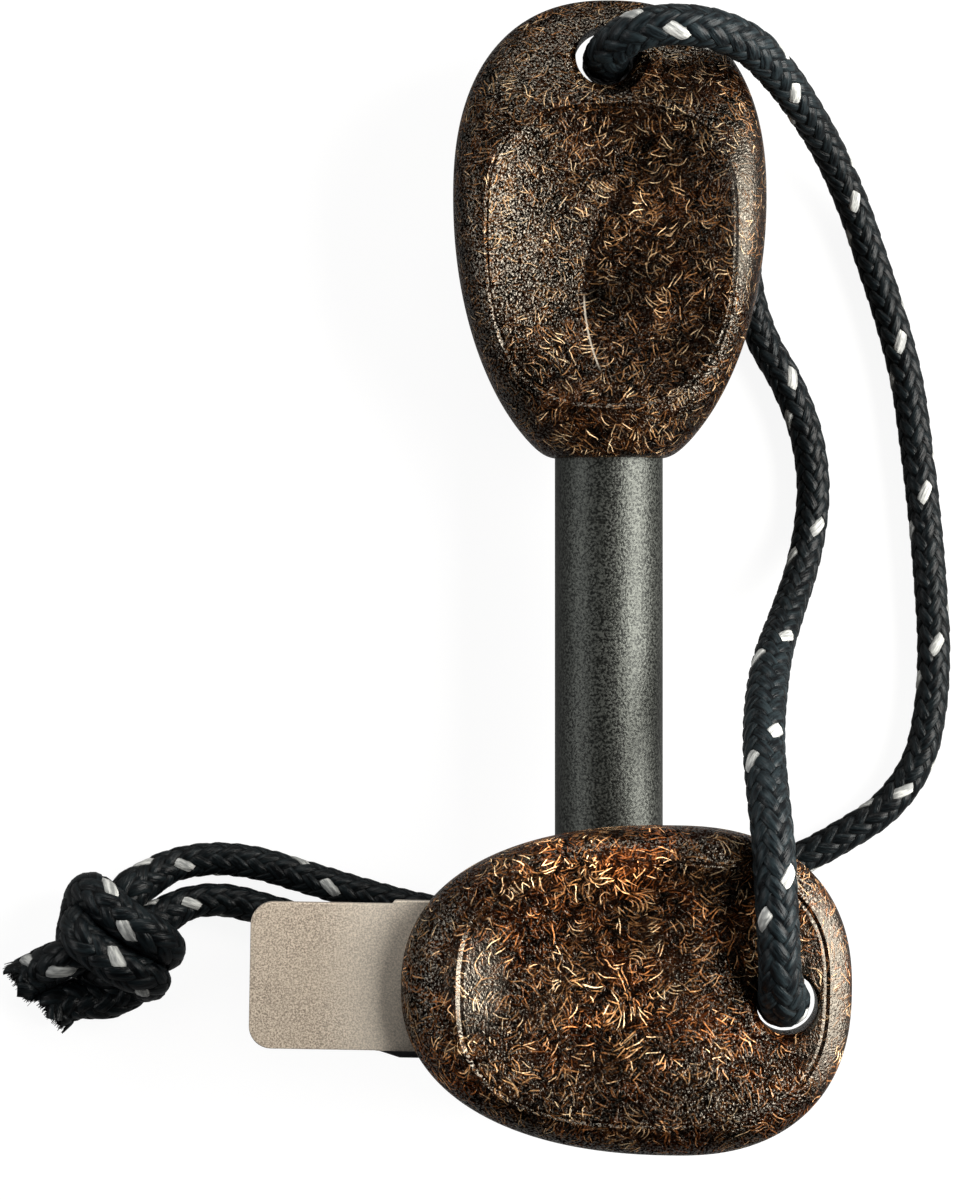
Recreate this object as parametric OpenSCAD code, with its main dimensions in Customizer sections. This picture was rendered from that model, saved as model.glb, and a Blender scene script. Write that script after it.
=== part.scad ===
// Ferro rod fire starter: a ferro rod in a moulded grip, a scraper blade in a second grip, and one
// braided cord that tethers the two and is tied to itself in an overhand knot.
// The set lies on a table. +Z is up, +Y runs from the rod's free end to its grip.
// The origin is on the table, at the middle of the rigid pieces.

/* [Ferro rod] */
// Diameter of the rod
rod_d = 9.5; // [7:0.1:9.8]
// Length of rod that stands out of its grip
rod_free_l = 60.1; // [45:0.1:75]
// Length of rod inside the grip's socket
rod_seat_l = 14; // [8:0.5:18]
// Chamfer on the rod's free end
rod_chamfer = 0.5; // [0.2:0.1:1]
// How far right of the set's middle the rod lies
rod_x = 5.3; // [2:0.1:8]

/* [Rod grip] */
// Width of the grip
rod_grip_w = 27.4; // [25:0.1:30]
// Length of the grip, from its lanyard end to its flat rod end
rod_grip_l = 40.3; // [36:0.1:42]
// Thickness of the grip, before its dish is sunk
rod_grip_t = 17.5; // [16:0.1:20]
// Distance from the lanyard end to the widest place
rod_grip_nose = 17.5; // [15:0.1:20]
// Distance from the widest place to the point that the flat end cuts off
rod_grip_tail = 24.8; // [24.8:0.1:28]
// Distance from the lanyard end to the hole's centre
rod_hole_inset = 5.2; // [4.8:0.1:7]

/* [Striker grip] */
// Width of the grip
striker_grip_w = 27.9; // [25:0.1:30]
// Distance from the lanyard end to the widest place
striker_grip_nose = 15; // [13:0.1:18]
// Distance from the widest place to the blade end
striker_grip_tail = 23.5; // [20:0.1:26]
// Thickness of the grip, before its dish is sunk
striker_grip_t = 13.6; // [12:0.1:16]
// Distance from the lanyard end to the hole's centre
striker_hole_inset = 5.6; // [5:0.1:7]
// Turn of the striker from square across the rod, in degrees
striker_turn = 1; // [0:0.5:4]
// How far the striker's middle lies below the rod grip's, along the rod
striker_drop = 68.4; // [60:0.1:70]
// Running gap between the striker's back and the rod that it lies on
striker_gap = 0.3; // [0.3:0.1:1]

/* [Thumb dishes] */
// Depth of both dishes at their middle
dish_depth = 2.2; // [1:0.1:2.6]
// Height of the crisp step around a dish
dish_step = 0.3; // [0.1:0.05:0.5]
// Width of the rod grip's dish
rod_dish_w = 22; // [18:0.1:23]
// Reach of the rod grip's dish towards the lanyard end, from its middle
rod_dish_nose = 10.3; // [8:0.1:11]
// Reach of the rod grip's dish towards the rod, from its middle
rod_dish_tail = 16.1; // [12:0.1:17]
// Middle of the rod grip's dish, from the widest place towards the lanyard end
rod_dish_y = -2.5; // [-4:0.1:-1]
// Width of the striker grip's dish
striker_dish_w = 22.6; // [18:0.1:23.6]
// Reach of the striker grip's dish towards the lanyard end, from its middle
striker_dish_nose = 15; // [12:0.1:15.4]
// Reach of the striker grip's dish towards the blade, from its middle
striker_dish_tail = 16.8; // [12:0.1:17.6]
// Middle of the striker grip's dish, from the widest place towards the lanyard end
striker_dish_y = -2; // [-4:0.1:-1]

/* [Lanyard holes] */
// Diameter of both lanyard holes
hole_d = 5.2; // [4.8:0.1:6]
// Radius of the rounded edges of both holes
hole_flare = 1.2; // [0.8:0.1:1.8]
// How far the rod grip's hole lies off that grip's middle
rod_hole_offset = 0.4; // [0:0.1:0.8]
// How far the striker grip's hole lies off that grip's middle
striker_hole_offset = 1; // [0:0.1:1.4]

/* [Blade] */
// Width of the blade
blade_w = 12.5; // [10:0.1:14]
// Length of blade that stands out of the grip
blade_free_l = 12.9; // [10:0.1:20]
// Thickness of the blade
blade_t = 1.5; // [1:0.1:2]
// Radius of the blade's two free corners
blade_corner_r = 1.9; // [0.5:0.1:3]
// How far the blade's middle lies off the grip's middle
blade_offset = 0.6; // [0:0.1:1]
// How far the short shoulder stands out past the blade's edge
short_shoulder_h = 0.3; // [0.2:0.05:1]
// How far the long shoulder stands out past the blade's other edge
long_shoulder_h = 0.65; // [0.3:0.05:1]
// Length of the short rounded shoulder outside the grip
short_shoulder_l = 0.8; // [0.4:0.1:1]
// Length of the long tapered shoulder outside the grip
long_shoulder_l = 2.1; // [1:0.1:3]
// Depth of the shoulders inside the grip
shoulder_seat_l = 4; // [3:0.1:6]
// Width of the tang
tang_w = 9; // [6:0.1:9.5]
// Length of the tang past the shoulders
tang_l = 11; // [6:0.1:14]

/* [Cord] */
// Diameter of the braided cord
cord_d = 3.1; // [2.6:0.1:3.4]
// Width and length of the knot
knot_w = 10.8; // [9:0.1:12]
// Height of the knot
knot_h = 9; // [8:0.1:11]

/* [Hidden] */

// Gap all round between a seated rod or tang and its socket
seat_gap = 0.05;
// Half of the flat band at the mould's parting line
parting_band = 0.25;
// Smoothness of true curves
round_fn = 64;

// Superellipse powers of the outlines: the lanyard end is a little squarer than an ellipse
nose_power = 2.35;
rod_tail_power = 2;
striker_tail_power = 2.3;
dish_power = 2.75;
// Powers of the surfaces' crowns: the front is flat with round rims, the back is a pebble
front_power = 5;
back_power = 2.3;
// Power that both crowns reach at the tail, which keeps that end blunt
tail_crown_power = 3.2;
// The thickest place lies this far from the widest place, and the grip thins from it to the nose
belly_y = -4;
// Share of the half thickness that is lost on the way from the belly to the nose
nose_thinning = 0.75;
// Where the back bulges out furthest, which is where a grip rests on the table
rest_y = -2.7;

// Points around a grip, and rings on its rim, dish and back
around = 56;
rim_rings = 6;
back_rings = 9;
// Rings in the dish, as shares of its size, from the foot of its step to its middle
dish_rings = [0.985, 0.92, 0.82, 0.69, 0.53, 0.35, 0.17];

// Places of the rigid pieces
rod_z = face_height(rest_y, rod_grip_t / 2, rod_grip_nose, rod_grip_tail, back_power);
set_l = rod_grip_l + rod_free_l;
set_w = striker_grip_nose + striker_grip_tail + blade_free_l;
rod_grip_y = set_l / 2 - rod_grip_nose;
rod_end_y = rod_grip_nose - rod_grip_l;
striker_x = set_w / 2 - striker_grip_nose;
striker_y = rod_grip_y - striker_drop;
striker_z = rod_z + rod_d / 2 + striker_gap
    + face_height(rest_y, striker_grip_t / 2, striker_grip_nose, striker_grip_tail, back_power);

// The cord's route. It starts at the knot and lies on the table, passes under the rod, comes round on
// the right and goes down through the rod grip's hole from the front.
outer_run = [
    [-36, -27.6, 3], [-33.6, -26.3, 1.9], [-30.2, -25.7, 1.6], [-26.4, -26, 1.6],
    [-21.4, -27.4, 1.6], [-16.4, -28.9, 1.6], [-11.3, -30.2, 1.6], [-5, -31, 1.6],
    [2, -31.3, 1.6], [9, -30.7, 1.6], [15.5, -29, 1.6], [21, -26.5, 1.6],
    [26, -23.9, 1.6], [30.3, -21, 1.6], [33.1, -17.1, 1.6], [34.3, -12.2, 1.6],
    [34.6, -6.6, 1.6], [34.3, -1, 1.6], [33.8, 4.8, 1.6], [33.1, 10.8, 1.6],
    [32.2, 17, 1.6], [30.9, 22.2, 1.6], [29.1, 27.8, 1.6], [27.3, 32.8, 2.3],
    [25.2, 37, 4.4], [22.9, 40.3, 7.4], [20.2, 43.4, 11], [17.3, 45.7, 14.2],
    [13.6, 46.9, 16.3], [10, 47.1, 16.8], [7.2, 46.6, 15.8], [5.6, 45.7, 13.7],
    [5.1, 45, 11.2], [5.1, 45, 8.8],
];
// From the back of that hole it runs under the grip's right flank, along the table, and climbs over
// the striker into the striker's hole from the front.
inner_run = [
    [5.1, 45, 8.8], [5.1, 45, 6.4], [5.9, 45, 4.1], [7.8, 45, 2.3], [10.7, 44.8, 1.6],
    [13.9, 43.5, 1.6], [16.1, 40.7, 1.6], [17.1, 36.8, 1.6], [17.5, 32.6, 1.6],
    [17.6, 28.4, 1.6], [18.1, 24.4, 1.6],
    [19.4, 20.6, 1.6], [21.4, 17, 1.6], [23.1, 12.6, 1.6], [23.8, 8, 1.6], [23.5, 3.9, 1.8],
    [22.6, 0.1, 3.2], [21.2, -3.6, 6], [19.7, -7.2, 10.4], [18.7, -11, 15.6], [18.2, -15, 20.6],
    [18.3, -19, 24.5], [18.6, -22.8, 26.5], [18.8, -26.6, 27], [19, -30.2, 26.9],
    [19.2, -33.4, 26.2], [19.5, -35.6, 24.4], [19.8, -36.6, 22.2], [19.8, -36.6, 20],
];
// From the back of the striker's hole it drops to the table and passes back under the rod to the knot.
return_run = [
    [19.8, -36.6, 20], [19.8, -36.6, 15.5], [19.6, -36.5, 10], [18.4, -36.2, 5],
    [15.2, -35.7, 2], [10.8, -35.4, 1.6], [4.5, -35.2, 1.6], [-1.8, -34.9, 1.6],
    [-8, -34.4, 1.6], [-14, -33.4, 1.6], [-19.4, -32, 1.6], [-24.4, -30.5, 1.6],
    [-28.9, -29.4, 1.6], [-32, -29.6, 2], [-34.5, -30.8, 3],
];
knot_at = [-38, -32.4, knot_h / 2];
end_upper = [[-41.3, -33.3, 2.6], [-44.4, -35.3, 1.6], [-47.3, -37.2, 1.6]];
end_lower = [[-38.8, -36, 2.6], [-41.7, -38, 1.6], [-44.6, -39.9, 1.6]];

grip_colour = [0.3, 0.19, 0.12];
rod_colour = [0.25, 0.26, 0.25];
steel_colour = [0.66, 0.61, 0.54];
cord_colour = [0.08, 0.09, 0.1];

// A superellipse whose two halves have their own reach: the point at angle t
function signed_power(value, power) = sign(value) * pow(abs(value), power);
function egg_point(t, half_w, nose, tail, nose_n, tail_n) =
    let (up = sin(t) >= 0, n = up ? nose_n : tail_n)
    [half_w * signed_power(cos(t), 2 / n), (up ? nose : tail) * signed_power(sin(t), 2 / n)];
// How far out a point lies in such an egg: 0 in the middle and 1 on the outline
function egg_reach(p, half_w, nose, tail, nose_n, tail_n) =
    let (up = p.y >= 0, n = up ? nose_n : tail_n)
    pow(pow(abs(p.x) / half_w, n) + pow(abs(p.y) / (up ? nose : tail), n), 1 / n);

// Half thickness of a grip along its length, and the crown that rounds it off towards the outline
function half_thickness(y, half_t, nose) =
    half_t * (y > belly_y ? 1 - nose_thinning * pow((y - belly_y) / (nose - belly_y), 2) : 1);
function crown(reach, power) = pow(max(0, 1 - pow(reach, power)), 1 / power);
function crown_power(power, y, tail) =
    y >= 0 ? power : power + (tail_crown_power - power) * pow(-y / tail, 3);
function face_height(y, half_t, nose, tail, power) =
    half_thickness(y, half_t, nose)
        * crown(abs(y) / (y >= 0 ? nose : tail), crown_power(power, y, tail));
function dish_depth_at(share) =
    share >= 1 ? 0 : dish_step + (dish_depth - dish_step) * (1 - pow(share, 3));

// Triangles that close a stack of rings with one point at each end
function ring_faces(count, n) = concat(
    [for (i = [0:n - 1]) [0, 1 + i, 1 + (i + 1) % n]],
    [for (r = [0:count - 2], i = [0:n - 1])
        let (a = 1 + r * n, b = a + n, j = (i + 1) % n)
        each [[a + i, b + j, a + j], [a + i, b + i, b + j]]],
    [for (i = [0:n - 1]) [count * n + 1, 1 + (count - 1) * n + (i + 1) % n, 1 + (count - 1) * n + i]]
);

// The egg-shaped blank of a grip: lanyard end at +Y, thumb dish on +Z, widest place at the origin
module grip_blank(half_w, nose, tail, tail_n, half_t, dish_half_w, dish_nose, dish_tail, dish_y) {
    function edge(t) = egg_point(t, half_w, nose, tail, nose_power, tail_n);
    function reach(p) = min(1, egg_reach(p, half_w, nose, tail, nose_power, tail_n));
    function dish_edge(t) =
        [0, dish_y] + egg_point(t, dish_half_w, dish_nose, dish_tail, dish_power, dish_power);
    function front(p) =
        max(parting_band, half_thickness(p.y, half_t, nose)
            * crown(reach(p), crown_power(front_power, p.y, tail)));
    function back(p) =
        -max(parting_band, half_thickness(p.y, half_t, nose)
            * crown(reach(p), crown_power(back_power, p.y, tail)));
    function on_front(p, depth) = [p.x, p.y, front(p) - depth];
    function on_back(p) = [p.x, p.y, back(p)];
    angles = [for (i = [0:around - 1]) 360 * (i + 0.5) / around];
    back_shares = [for (r = [1:back_rings]) sin(90 * r / back_rings)];
    rim_shares = [for (r = [0:rim_rings]) 1 - cos(90 * r / rim_rings)];
    points = concat(
        [on_back([0, rest_y])],
        [for (share = back_shares, t = angles) on_back(share * edge(t) + (1 - share) * [0, rest_y])],
        [for (share = rim_shares, t = angles)
            on_front((1 - share) * edge(t) + share * dish_edge(t), 0)],
        [for (share = dish_rings, t = angles)
            on_front([0, dish_y] + share * (dish_edge(t) - [0, dish_y]), dish_depth_at(share))],
        [on_front([0, dish_y], dish_depth)]
    );
    polyhedron(points, ring_faces(back_rings + rim_rings + 1 + len(dish_rings), around));
}

// Cuts a hole along Z with rounded edges at both faces
module flared_hole(front_z, back_z) {
    r = hole_d / 2;
    cut = 2 * rod_grip_t;
    translate([0, 0, -cut / 2]) cylinder(r = r, h = cut, $fn = round_fn);
    flare_cut(front_z, r, cut);
    mirror([0, 0, 1]) flare_cut(back_z, r, cut);
}

module flare_cut(face_z, r, cut) {
    translate([0, 0, face_z - hole_flare]) difference() {
        cylinder(r = r + hole_flare, h = cut, $fn = round_fn);
        rotate_extrude($fn = round_fn) translate([r + hole_flare, 0]) circle(r = hole_flare, $fn = round_fn);
    }
}

// Outline of the blade with its shoulders and tang, free end towards -Y, the grip's end at y = 0
module blade_outline(gap) {
    half_w = blade_w / 2;
    corner_y = blade_corner_r - blade_free_l;
    translate([-half_w, corner_y]) square([blade_w, -corner_y]);
    translate([blade_corner_r - half_w, -blade_free_l])
        square([blade_w - 2 * blade_corner_r, blade_free_l]);
    for (side = [-1, 1])
        translate([side * (half_w - blade_corner_r), corner_y]) circle(r = blade_corner_r, $fn = round_fn);
    translate([-half_w - short_shoulder_h - gap, short_shoulder_h - short_shoulder_l])
        square([half_w + gap, short_shoulder_l - short_shoulder_h + shoulder_seat_l + gap]);
    translate([-half_w, short_shoulder_h - short_shoulder_l])
        circle(r = short_shoulder_h, $fn = round_fn);
    translate([0, -gap])
        square([half_w + long_shoulder_h + gap, shoulder_seat_l + 2 * gap]);
    polygon([
        [half_w - long_shoulder_h, -long_shoulder_l], [half_w, -long_shoulder_l],
        [half_w + long_shoulder_h, 0], [half_w - long_shoulder_h, 0],
    ]);
    translate([-tang_w / 2 - gap, 0]) square([tang_w + 2 * gap, shoulder_seat_l + tang_l]);
}

// Places the firesteel's and the striker's own frames on the table
module at_firesteel() {
    translate([rod_x, rod_grip_y, rod_z]) children();
}

module at_striker() {
    translate([striker_x, striker_y, striker_z]) rotate([0, 0, -90 - striker_turn]) children();
}

module rod_grip() {
    hole_y = rod_grip_nose - rod_hole_inset;
    front_z = face_height(hole_y, rod_grip_t / 2, rod_grip_nose, rod_grip_tail, front_power);
    back_z = face_height(hole_y, rod_grip_t / 2, rod_grip_nose, rod_grip_tail, back_power);
    color(grip_colour) at_firesteel() difference() {
        grip_blank(rod_grip_w / 2, rod_grip_nose, rod_grip_tail, rod_tail_power, rod_grip_t / 2,
            rod_dish_w / 2, rod_dish_nose, rod_dish_tail, rod_dish_y);
        translate([-rod_grip_w, rod_end_y - rod_grip_l, -rod_grip_t])
            cube([2 * rod_grip_w, rod_grip_l, 2 * rod_grip_t]);
        translate([0, rod_end_y + rod_seat_l, 0]) rotate([90, 0, 0])
            cylinder(d = rod_d + 2 * seat_gap, h = 2 * rod_seat_l, $fn = round_fn);
        translate([-rod_hole_offset, hole_y, 0]) flared_hole(front_z, back_z);
    }
}

module ferro_rod() {
    body_l = rod_seat_l + rod_free_l - rod_chamfer;
    color(rod_colour) at_firesteel() translate([0, rod_end_y + rod_seat_l, 0]) rotate([90, 0, 0]) {
        cylinder(d = rod_d, h = body_l, $fn = round_fn);
        translate([0, 0, body_l])
            cylinder(d1 = rod_d, d2 = rod_d - 2 * rod_chamfer, h = rod_chamfer, $fn = round_fn);
    }
}

module striker_grip() {
    hole_y = striker_grip_nose - striker_hole_inset;
    front_z = face_height(hole_y, striker_grip_t / 2, striker_grip_nose, striker_grip_tail, front_power);
    back_z = face_height(hole_y, striker_grip_t / 2, striker_grip_nose, striker_grip_tail, back_power);
    color(grip_colour) at_striker() difference() {
        grip_blank(striker_grip_w / 2, striker_grip_nose, striker_grip_tail, striker_tail_power,
            striker_grip_t / 2, striker_dish_w / 2, striker_dish_nose, striker_dish_tail,
            striker_dish_y);
        translate([-blade_offset, -striker_grip_tail, -blade_t / 2 - seat_gap])
            linear_extrude(blade_t + 2 * seat_gap) blade_outline(seat_gap);
        translate([striker_hole_offset, hole_y, 0]) flared_hole(front_z - dish_depth / 2, back_z);
    }
}

module striker_blade() {
    color(steel_colour) at_striker() translate([-blade_offset, -striker_grip_tail, -blade_t / 2])
        linear_extrude(blade_t) blade_outline(0);
}

// A round tube through a list of points, with one eight-sided ring at each of them
module tube(points, d = cord_d) {
    sides = 8;
    last = len(points) - 1;
    function unit(v) = v / norm(v);
    function ahead(i) = unit(points[min(i + 1, last)] - points[max(i - 1, 0)]);
    function square_to(v, direction) = unit(v - (v * direction) * direction);
    ups = [for (i = 0, up = square_to([0.1, 0.1, 1], ahead(0)); i <= last;
        i = i + 1, up = square_to(up, ahead(min(i, last)))) up];
    rings = [for (i = [0:last], k = [0:sides - 1])
        let (turn = 360 * (k + 0.5) / sides, across = cross(ahead(i), ups[i]))
        points[i] + d / 2 * (cos(turn) * ups[i] + sin(turn) * across)];
    polyhedron(concat([points[0]], rings, [points[last]]), ring_faces(last + 1, sides));
}

module cord_outer_run() {
    color(cord_colour) tube(outer_run);
}

module cord_inner_run() {
    color(cord_colour) tube(inner_run);
}

module cord_return_run() {
    color(cord_colour) tube(return_run);
}

module cord_knot() {
    color(cord_colour) difference() {
        translate(knot_at) resize([knot_w, knot_w, knot_h]) sphere(r = knot_w / 2, $fn = 24);
        for (strand = [outer_run, return_run, end_upper, end_lower])
            tube(strand, cord_d + 2 * seat_gap);
    }
}

module cord_end_upper() {
    color(cord_colour) tube(end_upper);
}

module cord_end_lower() {
    color(cord_colour) tube(end_lower);
}

rod_grip();
ferro_rod();
striker_grip();
striker_blade();
cord_outer_run();
cord_inner_run();
cord_return_run();
cord_knot();
cord_end_upper();
cord_end_lower();
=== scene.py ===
"""Ferro rod fire starter: the looks of a ferro rod and a scraper blade in two fibre-filled grips, tethered by
one braided cord that is tied to itself in an overhand knot.

Sizes are in millimetres, and turn into metres only where Blender is given them.
"""
import math
import random

import bmesh
import bpy
import numpy as np
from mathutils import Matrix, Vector


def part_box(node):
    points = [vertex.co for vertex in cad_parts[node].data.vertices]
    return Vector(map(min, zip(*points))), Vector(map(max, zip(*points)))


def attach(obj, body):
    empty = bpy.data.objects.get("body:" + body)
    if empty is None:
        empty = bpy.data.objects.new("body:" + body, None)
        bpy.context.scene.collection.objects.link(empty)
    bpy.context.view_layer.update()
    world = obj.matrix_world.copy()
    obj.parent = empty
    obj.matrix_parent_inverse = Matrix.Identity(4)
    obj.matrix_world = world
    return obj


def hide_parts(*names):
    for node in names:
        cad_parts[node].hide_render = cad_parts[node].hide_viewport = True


MM = 0.001
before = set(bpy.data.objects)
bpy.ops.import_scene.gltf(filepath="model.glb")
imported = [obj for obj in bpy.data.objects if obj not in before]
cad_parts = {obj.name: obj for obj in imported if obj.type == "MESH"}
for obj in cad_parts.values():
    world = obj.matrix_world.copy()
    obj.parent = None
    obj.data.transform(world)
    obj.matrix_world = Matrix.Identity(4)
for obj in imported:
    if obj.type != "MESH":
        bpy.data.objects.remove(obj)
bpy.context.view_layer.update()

# Camera: straight above the table, a little left of the set's middle
CAMERA_AT = (-6.3, -2.5, 408.75)
SENSOR = 36
VIEW_TALL = 105.6
VIEW_DISTANCE = 400

# Floor: how wide it is, where it lies, how bright it shows in its own shadows, and what share of that glossy
# surfaces reflect
FLOOR_SIDE = 4000
FLOOR_Z = -0.1
FLOOR_GLOW = 0.92
FLOOR_MIRRORED = 0.15

# Grips: what the CAD model gives them
ROD_GRIP_NOSE = 17.5
ROD_GRIP_END = -22.8
STRIKER_NOSE = 15
STRIKER_TAIL = 23.5
HOLE_R = 2.6
HOLE_FLARE = 1.2
NOSE_POWER = 2.35
DISH_POWER = 2.75
FRONT_POWER = 5
BACK_POWER = 2.3
TAIL_CROWN_POWER = 3.2
BELLY_Y = -4
REST_Y = -2.7
NOSE_THINNING = 0.75
PARTING_BAND = 0.25
FIBRE_SPACING = 0.19

ROD_GRIP = {
    "half_w": 13.7, "nose": ROD_GRIP_NOSE, "tail": 24.8, "tail_power": 2, "half_t": 8.75,
    "dish_half_w": 11, "dish_nose": 10.3, "dish_tail": 16.1, "dish_y": -2.5,
    "hole_x": -0.4, "hole_y": 12.3, "end_y": ROD_GRIP_END, "crease": 0.9,
}
STRIKER_GRIP = {
    "half_w": 13.95, "nose": STRIKER_NOSE, "tail": STRIKER_TAIL, "tail_power": 2.3, "half_t": 6.8,
    "dish_half_w": 11.3, "dish_nose": 15, "dish_tail": 16.8, "dish_y": -2,
    "hole_x": 1, "hole_y": 9.4, "end_y": None, "crease": 0,
}
STRIKER_AT = (10.7, -35.7)
STRIKER_TURN = math.radians(-91)
SEAT_OVER_ROD = 0.3
BLADE_EDGE_X = 5.65
SHOULDER_STEP = 0.7
ROD_D = 9.5
DISH_DEPTH = 2.6
DISH_STEP = 0.3
# The rod grip's dish has a fine curved crease at its lowest, counted from the grip's own middle
CREASE_X = -2.3
CREASE_Y = -8.7
CREASE_BEND = 0.031

# Looks of the two mouldings: how bright their ground and their fibres are, how orange the fibres get, how fine
# they are, patches that are paler or darker, some of them painted light and painted shade, and patches that are worn
# glossy (middle, reach and gain or gloss)
ROD_GRIP_LOOK = {
    "ground": 0.45, "glow": 0.66, "warmth": 0.35, "fineness": 1.0, "creased": True,
    # The patch at (6, 24) with gain 0.5 is painted shade beside the crease; the others make the tone paler
    "patches": [((-6, 33), (3, 7), 1.7), ((9.5, 32), (3.5, 3.5), 1.8), ((6, 24), (4, 6), 0.5),
                ((5, 12), (12, 5), 1.5)],
    "wear_gloss_and_painted_light": [((17.4, 32), (2.5, 10), 0.35)],
}
STRIKER_GRIP_LOOK = {
    "ground": 0.6, "glow": 1.0, "warmth": 0.9, "fineness": 0.92, "creased": False,
    # The first patch is painted light along the upper rim, and the last is painted shade along the lower side
    "patches": [((1, -23.5), (13, 4.5), 2.6), ((4, -36), (7, 5), 1.35), ((8, -48), (22, 8), 0.35)],
    "wear_gloss_and_painted_light": [((-6.4, -34.7), (3, 5), 1.2), ((24.6, -35), (4.5, 12), 0.6)],
}

# Cord: the same route as the CAD model's
CORD_D = 3.1
OUTER_RUN = [
    (-36, -27.6, 3), (-33.6, -26.3, 1.9), (-30.2, -25.7, 1.6), (-26.4, -26, 1.6),
    (-21.4, -27.4, 1.6), (-16.4, -28.9, 1.6), (-11.3, -30.2, 1.6), (-5, -31, 1.6),
    (2, -31.3, 1.6), (9, -30.7, 1.6), (15.5, -29, 1.6), (21, -26.5, 1.6),
    (26, -23.9, 1.6), (30.3, -21, 1.6), (33.1, -17.1, 1.6), (34.3, -12.2, 1.6),
    (34.6, -6.6, 1.6), (34.3, -1, 1.6), (33.8, 4.8, 1.6), (33.1, 10.8, 1.6),
    (32.2, 17, 1.6), (30.9, 22.2, 1.6), (29.1, 27.8, 1.6), (27.3, 32.8, 2.3),
    (25.2, 37, 4.4), (22.9, 40.3, 7.4), (20.2, 43.4, 11), (17.3, 45.7, 14.2),
    (13.6, 46.9, 16.3), (10, 47.1, 16.8), (7.2, 46.6, 15.8), (5.6, 45.7, 13.7),
    (5.1, 45, 11.2), (5.1, 45, 8.8),
]
INNER_RUN = [
    (5.1, 45, 8.8), (5.1, 45, 6.4), (5.9, 45, 4.1), (7.8, 45, 2.3), (10.7, 44.8, 1.6),
    (13.9, 43.5, 1.6), (16.1, 40.7, 1.6), (17.1, 36.8, 1.6), (17.5, 32.6, 1.6),
    (17.6, 28.4, 1.6), (18.1, 24.4, 1.6),
    (19.4, 20.6, 1.6), (21.4, 17, 1.6), (23.1, 12.6, 1.6), (23.8, 8, 1.6), (23.5, 3.9, 1.8),
    (22.6, 0.1, 3.2), (21.2, -3.6, 6), (19.7, -7.2, 10.4), (18.7, -11, 15.6), (18.2, -15, 20.6),
    (18.3, -19, 24.5), (18.6, -22.8, 26.5), (18.8, -26.6, 27), (19, -30.2, 26.9),
    (19.2, -33.4, 26.2), (19.5, -35.6, 24.4), (19.8, -36.6, 22.2), (19.8, -36.6, 20),
]
RETURN_RUN = [
    (19.8, -36.6, 20), (19.8, -36.6, 15.5), (19.6, -36.5, 10), (18.4, -36.2, 5),
    (15.2, -35.7, 2), (10.8, -35.4, 1.6), (4.5, -35.2, 1.6), (-1.8, -34.9, 1.6),
    (-8, -34.4, 1.6), (-14, -33.4, 1.6), (-19.4, -32, 1.6), (-24.4, -30.5, 1.6),
    (-28.9, -29.4, 1.6), (-32, -29.6, 2), (-34.5, -30.8, 3),
]
# The two strands of the knot. Each goes in under its own front band, turns back at the left, comes over
# the front as that band, dives at the right, and leaves under both bands to a free end at the lower left
KNOT_OUTER = [
    (-36, -27.6, 3), (-37.8, -28.9, 4.2), (-39.2, -30.6, 4.2), (-40.4, -32.2, 3.4),
    (-41.4, -32.4, 2.4), (-41.9, -31.4, 3.2), (-41.5, -31.4, 5.2), (-40.6, -32.5, 6.8),
    (-39.2, -34.2, 7.3), (-37.2, -35.3, 7.3), (-35, -35.8, 6.4), (-34, -35.7, 4.2),
    (-36.2, -35.3, 1.8), (-38.4, -35.1, 1.7), (-40.6, -36.2, 1.7), (-42.5, -37.7, 1.6),
    (-44.6, -39.6, 1.6),
]
KNOT_RETURN = [
    (-34.5, -30.8, 3), (-36.8, -32.2, 4.3), (-39, -34, 3.6), (-40.8, -34.4, 2),
    (-41.4, -32.6, 1.8), (-40.9, -31, 3.2), (-40.1, -30.1, 5.6), (-38.9, -30.1, 7),
    (-37.5, -30.9, 7.5), (-35.8, -31.9, 7.5), (-34.5, -32.5, 6.4), (-34, -32.9, 4.2),
    (-35.4, -33, 1.8), (-38, -32.2, 1.7), (-40.6, -32.6, 3.6), (-42.6, -33.6, 3.2),
    (-44.8, -35.2, 1.9), (-47.4, -37, 1.6),
]

# Braid: 16 flat yarns, eight each way, each over two and under two. One of them is a pale tracer
YARNS_EACH_WAY = 8
LAY = 13.6
YARN_WIDTH = 1.12
YARN_CROWN = 0.17
YARN_WAVE = 0.15
YARN_BED = CORD_D / 2 - YARN_CROWN - YARN_WAVE
TRACER = (1, 0)
# Where the tracer lies at the start of each line of cord: its turn in radians and its slide in millimetres
OUTER_TRACER = (2.7, 1.2)
INNER_TRACER = (5.25, 0.9)
RETURN_TRACER = (4.2, 2.7)
# How wide the braid lies, as a share of its diameter
FLOOR_SWELL = 0.98
HIGH_SWELL = 1.2
HOLE_SWELL = 1.36
STRIKER_HOLE_SWELL = 1.5
KNOT_SWELL = 1.2
END_SWELL = 1.3
KNOT_REACH = 3
# How low and how high a strand's middle lies in the knot
KNOT_LOWEST = 2.1
KNOT_HIGHEST = 7.45
FILAMENTS = 150
# Painted light: how many times paler the yarns get where the cord lies high, on top of a grip
HIGH_PAINTED_LIGHT = 2.4
TRACER_HIGH_PAINTED_LIGHT = 1.3


def add_camera():
    """The photo's own view: a portrait frame that sees 105.6 mm of the rod's height at 400 mm."""
    data = bpy.data.cameras.new("camera")
    data.sensor_width = SENSOR
    data.lens = SENSOR * VIEW_DISTANCE / VIEW_TALL
    data.clip_start = 0.01
    data.clip_end = 10
    camera = bpy.data.objects.new("camera", data)
    camera.location = Vector(CAMERA_AT) * MM
    bpy.context.collection.objects.link(camera)
    bpy.context.scene.camera = camera
    bpy.context.scene.view_settings.view_transform = "Standard"


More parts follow.
